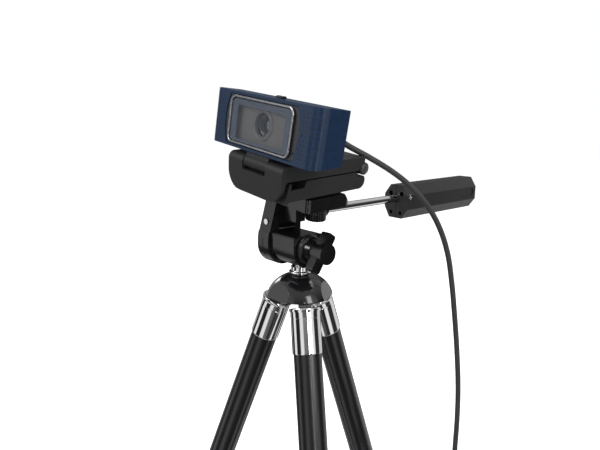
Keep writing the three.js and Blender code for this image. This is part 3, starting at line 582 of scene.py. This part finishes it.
# ------------------------------------------------------------------ camera platform, handle
TO = STAND.inverted() @ HEAD
m = join(both(prism('z', rrect(-29, 27, -18, 21, [3, 3, 5, 5], 8), -0.6, 8.2), prism('x', [(-18, -0.6), (21, -0.6), (20.4, 0.9), (14.5, 8.2), (-18, 8.2)], -60, 60)), cyl('z', 7.4, -6.2, 0.4, 0, 15.4, 56))
m = cut(m, cyl('z', 3.5, -20, 20, 0, 15.4, 40))
m = tf(m, TO)
m = join(m, prism('x', [(-4.9, 52), (-4.9, 70.5), (17, 70.5), (16.6, 59), (8.7, 59), (8.7, 52)], A0, A1), cyl('y', 6, -4.9, 8.7, FX, FZ_, 48),
         box(-16.6, -1.5, -3, 5.5, 53.6, 70), box(-16.6, -8.7, 4, 30, 53.6, 70), box(A1 - 1, -10, -3, 16.5, 59.2, 70), cyl('y', 5.2, 22.6, 31, -9, 58.1, 48), box(-14.2, -3.8, 25.3, 31, 58, 68))
m = cut(m, cyl('y', 2, -20, 20, FX, FZ_, 32), cyl('y', 3.4, 23.2, 40, -9, 58.1, 40), tf(cyl('z', 8.4, -20, -6.2, 0, 15.4, 56), TO))
done(m, 'platform_body', 'head_black', STAND, 'platform', ['camera_platform'], bevel=0.6, seg=3, angle=30)
done(cut(prism('z', rrect(-22, 22, -14, 14, 2, 6), 8.5, 9.2), cyl('z', 3.6, 0, 20, 0, 15.4, 40), *[box(-20, 20, yy, yy + 1, 8.95, 10) for yy in range(-12, 12, 3)]), 'platform_mat', 'pad', HEAD, 'platform', ['platform_pad'], bevel=0.12, seg=1)
o = []
for i in range(24):
    a = 15 * i
    for f, rr in ((-0.28, 7.25), (0, 7.32), (0.28, 7.25), (0.42, 6.5), (0.58, 6.5)):
        o.append((rr * math.cos((a + f * 15) * D), 15.4 + rr * math.sin((a + f * 15) * D)))
done(cut(prism('z', o, -17.6, -6.6), cyl('z', 3.3, -13, 0, 0, 15.4, 40)), 'thumb_wheel', 'head_black', HEAD, 'camera screw', ['screw_wheel'], bevel=0.35, seg=2, angle=50)
scr = [(0, -12.6), (2.4, -12.6), (3.0, -12.0), (3.0, 1.0)]
z = 1.0
while z < 14.2:
    scr += [(3.0, z + 0.15), (2.55, z + 0.6), (3.0, z + 1.05)]
    z += 1.27
scr += [(2.6, 15.4), (2.2, 15.6), (0, 15.6)]
done(turned(scr, 40), 'thread', 'steel', HEAD @ T(0, 15.4, 0), 'camera screw', ['camera_screw'], bevel=0)
done(cyl('y', 3.1, 23.5, 150, -9, 58.1, 56), 'rod', 'chrome', STAND, 'handle', ['handle_rod'], bevel=0.4, seg=2)
gx, gc, gh, gw, g0, g1 = -9, 55.4, 13.9, 12, 113.5, 215
go = [(gx - gw, gc - 5), (gx - gw + 5, gc - gh), (gx + gw - 6, gc - gh), (gx + gw, gc - gh + 8), (gx + gw, gc + 5.5), (gx + gw - 5.5, gc + gh), (gx - gw + 6, gc + gh), (gx - gw, gc + gh - 8)]


def grip(x0, x1):
    g = both(prism('y', go, g0, g1), box(x0, x1, 0, 300, 0, 100))
    g = cut(g, cyl('y', 3.4, g0 - 5, 150.4, gx, 58.1, 40), cyl('x', 1.9, gx + 4.2, gx + 30, 118.5, gc + 4, 32))
    return g


gr = grip(gx + 0.15, gx + 40)
gr = cut(gr, cyl('x', 3.0, gx + gw - 1.6, gx + 30, 118.5, gc + 4, 40), cyl('y', 2.0, g0 - 2, g0 + 6, gx + 5.6, gc + 6.6, 32), cyl('y', 1.6, g0 - 2, g0 + 6, gx + 4.6, gc - 9.4, 32))
gr = cut(gr, prism('x', rrect(g1 - 24, g1 - 4, gc - 3, gc + 4, 2.2, 6), gx + gw - 0.5, gx + 30))
gl = grip(gx - 40, gx - 0.15)
gl = cut(gl, cyl('y', 2.0, g0 - 2, g0 + 6, gx - 5.6, gc + 6.6, 32), cyl('y', 1.6, g0 - 2, g0 + 6, gx - 5.0, gc - 9.4, 32))
done(gr, 'grip_right', 'grip', STAND, 'handle', ['grip_shell_right'], bevel=1.1, seg=4, angle=25)
done(gl, 'grip_left', 'grip', STAND, 'handle', ['grip_shell_left'], bevel=1.1, seg=4, angle=25)
sc = cut(join(cyl('x', 1.6, gx + 4.5, gx + gw - 1.4, 118.5, gc + 4, 32), cyl('x', 2.7, gx + gw - 1.5, gx + gw - 0.5, 118.5, gc + 4, 40)), box(gx + gw - 1.0, gx + gw, 118.2, 118.8, gc + 2, gc + 6), box(gx + gw - 1.0, gx + gw, 116.5, 120.5, gc + 3.7, gc + 4.3))
done(sc, 'grip_screw', 'chrome', STAND, 'handle', ['grip_screw_front'], bevel=0.2, seg=2)

# ------------------------------------------------------------------ clip
FY, FZ = 32.1, 23.0
CH = 27.5
side = [(-34.8, 7.7), (-33.4, 9.4), (26, 9.6)] + arc(28.2, 15, 5.4, -90, 20, 14) + [(32.6, 18), (26.6, 18.2), (26.6, 20), (25, 21.3), (-19.6, 21.3), (-21.2, 17), (-32, 16.8), (-31.8, 21), (-33.2, 21), (-36.2, 9.4), (-36.1, 7.7)]
m = join(prism('x', side, -CH, CH), box(-16.4, 16.4, 27, FY, 14, FZ), cyl('x', 4.2, -16.4, 16.4, FY, FZ, 56))
m = cut(m, cyl('x', 1.9, -30, 30, FY, FZ, 32), cyl('z', 6.3, 9, 17, 1.2, 15.4, 48), box(-24.5, 24.5, -31, -22.4, 12.2, 30))
done(m, 'foot_plate', 'clip', CLIP, 'clip foot', ['clip_foot'], bevel=0.55, seg=3, angle=30)
done(cut(cyl('z', 6, 9.7, 16.7, 0, 15.4, 48), cyl('z', 3.3, 0, 30, 0, 15.4, 40)), 'insert', 'brass', HEAD, 'clip foot', ['threaded_insert'], bevel=0.2, seg=2)
side = [(-36.9, 7.9), (-36.9, 20.6), (-35.2, 22.2), (27.2, 22.2), (27.2, FZ), (FY, FZ), (FY, 31), (-35.4, 31.6)] + arc(-35.6, 27.2, 4.4, 90, 180, 14)[1:] + [(-40, 8.6), (-39.4, 7.9)]
m = both(prism('x', side, -CH, CH), prism('y', rrect(-CH, CH, 7.9, 60, [13, 13, 0, 0], 20), -60, 60))
m = join(m, both(prism('x', side, -CH, CH), box(-40, 40, -30, 60, 22.2, 40)), cyl('x', 4.2, -CH, CH, FY, FZ, 56))
m = cut(m, box(-16.8, 16.8, 24, 60, 10, 27.7), cyl('x', 1.9, -25.5, 25.5, FY, FZ, 32), box(-12.4, 11.2, -60, -26, 22.7, 60), cyl('x', 1.5, -22, 22, -35, 27.4, 32), box(-22, 22, -25.4, 22, 20, 22.9))
done(m, 'top_plate', 'clip', CLIP, 'clip top', ['clip_top'], bevel=0.6, seg=3, angle=30)
done(cut(prism('z', rrect(-21.6, 21.6, -25, 21.6, 2, 6), 21.9, 22.6), *[box(-20, 20, yy, yy + 1, 21, 22.1) for yy in range(-23, 20, 3)]), 'top_mat', 'pad', CLIP, 'clip top', ['clip_grip_pad'], bevel=0.1, seg=1)
done(cyl('x', 1.6, -25, 25, FY, FZ, 32), 'fold_pin', 'steel', CLIP, 'clip top', ['fold_hinge_pin'], bevel=0.2, seg=2)
done(cyl('x', 1.2, -21.6, 21.6, -35, 27.4, 32), 'lip_pin', 'steel', CLIP, 'clip top', ['cam_hinge_pin'], bevel=0.2, seg=2)
for sx in (-1, 1):
    cap = tf(turned([(0, -0.1), (3.3, -0.1), (3.3, 0.15), (3.0, 0.55), (2.0, 0.95), (0, 1.1)], 48), R(90 * sx, 'Y'))
    done(cap, f'barrel_cap_{"r" if sx > 0 else "l"}', 'cap', CLIP @ T(CH * sx, FY, FZ), 'clip top', (), bevel=0)

# ------------------------------------------------------------------ webcam
HW, Y0, Y1, ZA, ZB, RC = 52.5, -42, -19.5, 29.7, 65.2, 8
HY, HZ = -37.9, 23.3
LZ = 47.8
slope = 3.2 / (Y1 - Y0)


def lower(dz):
    return [(Y0 - 9, ZA + dz - 9 * slope), (40, ZA + dz + (40 - Y0) * slope), (40, 200), (Y0 - 9, 200)]


def outline(i, y1):
    return rrect(-HW + i, HW - i, Y0 + i, y1, [RC - i, RC - i, 0, 0], 28)


def bow(dx, dz, a=33, b=36.5, n=24):
    z0, z1 = ZA + 1.9 + dz, ZB - 1.9 - dz
    o = [(b - dx - (b - a) * (-1 + 2 * i / n) ** 2, z0 + (z1 - z0) * i / n) for i in range(n + 1)]
    return o + [(-x, z) for x, z in o[::-1]]


outer = both(prism('z', outline(0, Y1), ZA - 2, ZB), prism('x', lower(0), -80, 80))
inner = both(prism('z', outline(1.8, Y1 + 5), ZA, ZB - 1.8), prism('x', lower(1.8), -80, 80))
shell = cut(outer, inner, prism('y', bow(0, 0), Y0 - 5, Y0 + 4), box(-9.6, 13.8, Y0 + 4.2, Y0 + 6.4, ZB - 3, ZB + 2))
done(shell, 'housing', 'navy', CAM, 'webcam', ['front_shell'], bevel=0.7, seg=4, angle=35)
band = cut(prism('y', bow(0.3, 0.3), Y0 + 0.5, Y0 + 2.6), prism('y', rrect(-28, 28, 35.2, 59.8, 3, 10), Y0 - 5, Y0 + 8), cyl('y', 0.55, Y0 - 1, Y0 + 1.6, 33.0, 36.4, 24))
done(band, 'face_band', 'band', CAM, 'webcam', ['front_band'], bevel=0.2, seg=2)
x, z0, z1, rr, w = 31.3, 32.3, 62.7, 5, 1.5
ring = cut(prism('y', rrect(-x, x, z0, z1, rr, 14), Y0 - 1.5, Y0 + 0.2), prism('y', rrect(-x + w, x - w, z0 + w, z1 - w, rr - w, 14), Y0 - 3, Y0 + 3))
done(ring, 'bezel_ring', 'bezel', CAM, 'webcam', ['window_bezel'], bevel=0.6, seg=4)
done(prism('y', rrect(-29.5, 29.5, 34.1, 60.9, 3.2, 12), Y0 - 1.2, Y0 - 0.2), 'window_pane', 'window', CAM, 'webcam', ['window'], bevel=0.25, seg=3)
fr = cut(prism('y', rrect(-29.4, 29.4, 34.2, 60.8, 3.1, 12), Y0 - 0.1, Y0 + 0.15), prism('y', rrect(-23.6, 23.6, 35.8, 57, 1.2, 8), Y0 - 3, Y0 + 3))
done(fr, 'window_border', 'window_frame', CAM, 'webcam', (), bevel=0)
raised = turned([(0, -3.4), (10, -3.4), (10, -2.75), (9.6, -2.25), (9.1, -2.25), (8.8, -2.5), (8.3, -2.5), (8.0, -2.2), (7.7, -2.2), (0, -2.2)], 80)
plate = join(prism('y', rrect(-29.5, 29.5, 34.6, 61.4, 3, 8), Y0 + 2.9, Y0 + 4.2), tf(raised, T(0, Y0, LZ) @ R(90, 'X')))
plate = cut(plate, cyl('y', 7.4, Y0, Y0 + 20, 0, LZ, 80))
done(plate, 'lens_plate', 'surround', CAM, 'webcam', ['lens_surround'], bevel=0.15, seg=2)
bar = tf(turned([(3.4, 0), (8.1, 0), (8.1, 8.1), (7.7, 8.6), (7.2, 8.6), (6.9, 8.1), (6.4, 7.9), (6.2, 7.2), (5.8, 7.1), (5.5, 6.4), (5.4, 5.6), (3.4, 5.6), (3.4, 0)], 72), R(90, 'X'))
done(bar, 'lens_body', 'lens_ring', CAM @ T(0, Y0 + 14, LZ), 'webcam', ['lens_barrel'], bevel=0)
gl_ = tf(turned([(0, 0)] + [(5.1 * math.cos(a * D), 1.6 * math.sin(a * D)) for a in range(0, 86, 6)] + [(0, 1.6)], 64), R(90, 'X'))
done(gl_, 'lens_front', 'lens_glass', CAM @ T(0, Y0 + 8.1, LZ), 'webcam', ['lens_glass'], bevel=0)
done(box(-4, 4, Y0 + 14.3, Y0 + 15.7, LZ - 4, LZ + 4), 'sensor', 'lens_black', CAM, 'webcam', ['image_sensor'], bevel=0.15, seg=1)
done(prism('y', rrect(-46, 46, 38.6, 61.5, 1.5, 4), Y0 + 16, Y0 + 17.6), 'board', 'board', CAM, 'webcam', ['main_board'], bevel=0.1, seg=1)
rc = prism('z', [(-HW + 1, Y1 + 0.3), (HW - 1, Y1 + 0.3), (HW - 3, Y1 + 2.6), (HW - 9, Y1 + 5.8), (-HW + 9, Y1 + 5.8), (-HW + 3, Y1 + 2.6)], ZA, ZB)
rc = both(rc, prism('x', [(Y1 + 0.3, ZA + 4.2), (Y1 + 2.6, ZA + 5.6), (Y1 + 5.8, ZA + 9.5), (Y1 + 5.8, ZB - 6.5), (Y1 + 2.6, ZB - 2.2), (Y1 + 0.3, ZB - 1)], -80, 80))
rc = cut(rc, prism('z', [(-HW + 3, Y1 - 5), (HW - 3, Y1 - 5), (HW - 3.4, Y1 + 1.5), (HW - 10, Y1 + 4.2), (-HW + 10, Y1 + 4.2), (-HW + 3.4, Y1 + 1.5)], ZA + 10.5, ZB - 7), cyl('y', 3.2, Y1, Y1 + 20, 13.8, 46, 32))
for i in range(7):
    rc = cut(rc, prism('y', rrect(-36 + i * 4.2, -34.2 + i * 4.2, 44, 55, 0.85, 6), Y1 + 3, Y1 + 12))
done(rc, 'back_cover', 'back', CAM, 'webcam', ['rear_cover'], bevel=0.5, seg=3)
nk = join(cyl('x', 4.4, -11.3, 11.3, HY, HZ, 56), prism('x', [(HY - 3.4, HZ), (HY + 3.6, HZ), (-31.2, ZA + (-31.2 - Y0) * slope - 0.35), (-40.2, ZA + (-40.2 - Y0) * slope - 0.35)], -11.3, 11.3))
done(cut(nk, cyl('x', 1.5, -20, 20, HY, HZ, 32)), 'neck_barrel', 'clip', CAM, 'webcam', ['hinge_neck'], bevel=0.35, seg=3)
sh = join(box(8.5, 13.3, Y0 + 4.5, Y0 + 6.1, 60.6, ZB + 0.8), prism('y', [(7.9, ZB + 0.3), (13.9, ZB + 0.3), (13.9, ZB + 1.6), (12.5, ZB + 1.9), (11.8, ZB + 1.2), (10, ZB + 1.2), (9.3, ZB + 1.9), (7.9, ZB + 1.6)], Y0 + 3.6, Y0 + 7),
          box(8.5, 13.3, Y0 + 4.5, Y0 + 5.1, 57, 61), box(9.2, 26, Y0 + 4.5, Y0 + 5.1, 36.5, 59.4))
done(sh, 'shutter', 'lens_black', CAM, 'privacy slide', ['privacy_slide'], bevel=0.2, seg=2)

# perforated side panels: rows of small holes that follow the front face and its corner; each hole is a flat near-black
# disc, painted shade standing in for the dark inside of a hole that is not cut
vs, fs = [], []


def hole(c, t, n, rad):  # shallow near-black disc at c, facing n: painted shade in place of a cut hole
    b2 = n.cross(t).normalized()
    i0 = len(vs)
    for k in range(10):
        a = 2 * math.pi * k / 10
        vs.append(tuple(c + n * 0.02 + (t * math.cos(a) + b2 * math.sin(a)) * rad))
    fs.append(tuple(range(i0, i0 + 10)))


def on_front(x):  # point and normal on the outline of the front at arc position x
    flat = HW - RC
    if abs(x) <= flat:
        return Vector((x, Y0, 0)), Vector((0, -1, 0))
    s = (abs(x) - flat) / RC
    if s > math.pi / 2:
        q = abs(x) - flat - RC * math.pi / 2
        return Vector((math.copysign(HW, x), Y0 + RC + q, 0)), Vector((math.copysign(1, x), 0, 0))
    return Vector((math.copysign(flat + RC * math.sin(s), x), Y0 + RC - RC * math.cos(s), 0)), Vector((math.copysign(math.sin(s), x), -math.cos(s), 0))


for sx in (-1, 1):
    for j in range(11):
        zz = 34.5 + j * 2.64
        for i in range(5):
            xx = 38.0 + 3.15 * i + (1.1 if j % 2 else 0)
            p, n = on_front(sx * xx)
            hole(Vector((p.x, p.y, zz)), Vector((0, 0, 1)), n, 0.56)
p, n = on_front(39.2)
hole(Vector((p.x, p.y, 48)), Vector((0, 0, 1)), n, 0.8)
# the near-black discs together: painted hole shade on the side panels
hole_shade_discs = mk(vs, fs)
hole_shade_discs.name = 'perforation'
hole_shade_discs.data.materials.append(MATS['dot'])
hole_shade_discs.data.transform(CAM)
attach(hole_shade_discs, 'webcam')

# ------------------------------------------------------------------ stage, light
fl = bpy.data.meshes.new('floor')
n = 96
fl.from_pydata([(6 * math.cos(2 * math.pi * i / n), 6 * math.sin(2 * math.pi * i / n), -0.0004) for i in range(n)], [], [tuple(range(n))])
floor = bpy.data.objects.new('floor', fl)
bpy.context.scene.collection.objects.link(floor)


def pale(nt, b, co, ramp):  # seen directly it reads white, while what it throws back on the object stays low
    lp_ = nt.nodes.new('ShaderNodeLightPath')
    mx = nt.nodes.new('ShaderNodeMix'); mx.data_type = 'RGBA'
    nt.links.new(lp_.outputs['Is Camera Ray'], mx.inputs[0])
    mx.inputs[6].default_value = (0.42, 0.42, 0.42, 1)
    nt.links.new(ramp.outputs['Color'], mx.inputs[7])
    nt.links.new(mx.outputs[2], b.inputs['Base Color'])
    ml = nt.nodes.new('ShaderNodeMath'); ml.operation = 'MULTIPLY'
    nt.links.new(lp_.outputs['Is Camera Ray'], ml.inputs[0])
    ml.inputs[1].default_value = 0.55
    b.inputs['Emission Color'].default_value = (1, 1, 1, 1)
    nt.links.new(ml.outputs[0], b.inputs['Emission Strength'])


material('floor', (0.90, 0.90, 0.90), rough=0.7, var=0.01, scale=3, spec=0.1, extra=pale)
fl.materials.append(MATS['floor'])
floor.visible_glossy = False

sc_ = bpy.context.scene
sc_.view_settings.view_transform = 'Standard'
sc_.view_settings.look = 'None'
w = bpy.data.worlds.new('studio')
sc_.world = w
w.use_nodes = True
nt = w.node_tree
nt.nodes.clear()
out = nt.nodes.new('ShaderNodeOutputWorld')
tc = nt.nodes.new('ShaderNodeTexCoord')
sep = nt.nodes.new('ShaderNodeSeparateXYZ')
nt.links.new(tc.outputs['Generated'], sep.inputs[0])
at = nt.nodes.new('ShaderNodeMath'); at.operation = 'ARCTAN2'
nt.links.new(sep.outputs['Y'], at.inputs[0]); nt.links.new(sep.outputs['X'], at.inputs[1])
mr = nt.nodes.new('ShaderNodeMapRange')
mr.inputs['From Min'].default_value = -math.pi
mr.inputs['From Max'].default_value = math.pi
nt.links.new(at.outputs[0], mr.inputs['Value'])
ramp = nt.nodes.new('ShaderNodeValToRGB')
nt.links.new(mr.outputs[0], ramp.inputs['Fac'])
# azimuth stops, degrees from +X: dark strips between bright panels
stops = [(-180, .75), (-172, .75), (-166, .03), (-146, .03), (-142, 1.5), (-124, 1.5), (-120, .03), (-92, .03), (-88, 1.3), (-78, 1.5), (-66, 1.4), (-61, .25), (-40, .18), (-28, .05), (-6, .03), (-2, 1.5), (20, 1.5), (25, .05), (58, .05), (64, 1.2), (100, 1.2), (108, .08), (150, .10), (158, .75), (180, .75)]
el = ramp.color_ramp.elements
el[0].position, el[0].color = 0, [stops[0][1]] * 3 + [1]
el[1].position, el[1].color = 1, [stops[-1][1]] * 3 + [1]
for a, v in stops[1:-1]:
    e = el.new((a + 180) / 360)
    e.color = [v] * 3 + [1]
up = nt.nodes.new('ShaderNodeMapRange')
up.inputs['From Min'].default_value = 0.15
up.inputs['From Max'].default_value = 0.75
nt.links.new(sep.outputs['Z'], up.inputs['Value'])
mix = nt.nodes.new('ShaderNodeMix'); mix.data_type = 'RGBA'
nt.links.new(up.outputs[0], mix.inputs[0])
nt.links.new(ramp.outputs['Color'], mix.inputs[6])
mix.inputs[7].default_value = (0.9, 0.9, 0.92, 1)
env = nt.nodes.new('ShaderNodeBackground')
env.inputs['Strength'].default_value = 0.62
nt.links.new(mix.outputs[2], env.inputs['Color'])
white = nt.nodes.new('ShaderNodeBackground')
white.inputs['Color'].default_value = (1, 1, 1, 1)
white.inputs['Strength'].default_value = 1.02
lp = nt.nodes.new('ShaderNodeLightPath')
ms = nt.nodes.new('ShaderNodeMixShader')
nt.links.new(lp.outputs['Is Camera Ray'], ms.inputs[0])
nt.links.new(env.outputs[0], ms.inputs[1])
nt.links.new(white.outputs[0], ms.inputs[2])
nt.links.new(ms.outputs[0], out.inputs[0])


def area(name, loc, target, size, power, color=(1, 1, 1)):
    ld = bpy.data.lights.new(name, 'AREA')
    ld.shape = 'RECTANGLE'
    ld.size, ld.size_y = size
    ld.energy = power
    ld.color = color
    ob = bpy.data.objects.new(name, ld)
    sc_.collection.objects.link(ob)
    ob.location = loc
    ob.rotation_euler = (Vector(target) - Vector(loc)).to_track_quat('-Z', 'Y').to_euler()
    return ob


mid = (0, -0.08, 0.22)
area('key', (-0.45, -1.25, 1.05), mid, (0.7, 0.5), 10)
area('strip', (1.15, -0.62, 0.05), (0, -0.08, 0.12), (0.10, 1.1), 3)
area('side', (1.25, -0.25, 0.75), mid, (0.35, 0.9), 6)
area('top', (0.1, 0.15, 1.5), mid, (1.0, 1.0), 8)
area('rim', (-1.25, 0.25, 0.8), mid, (0.3, 0.8), 3)
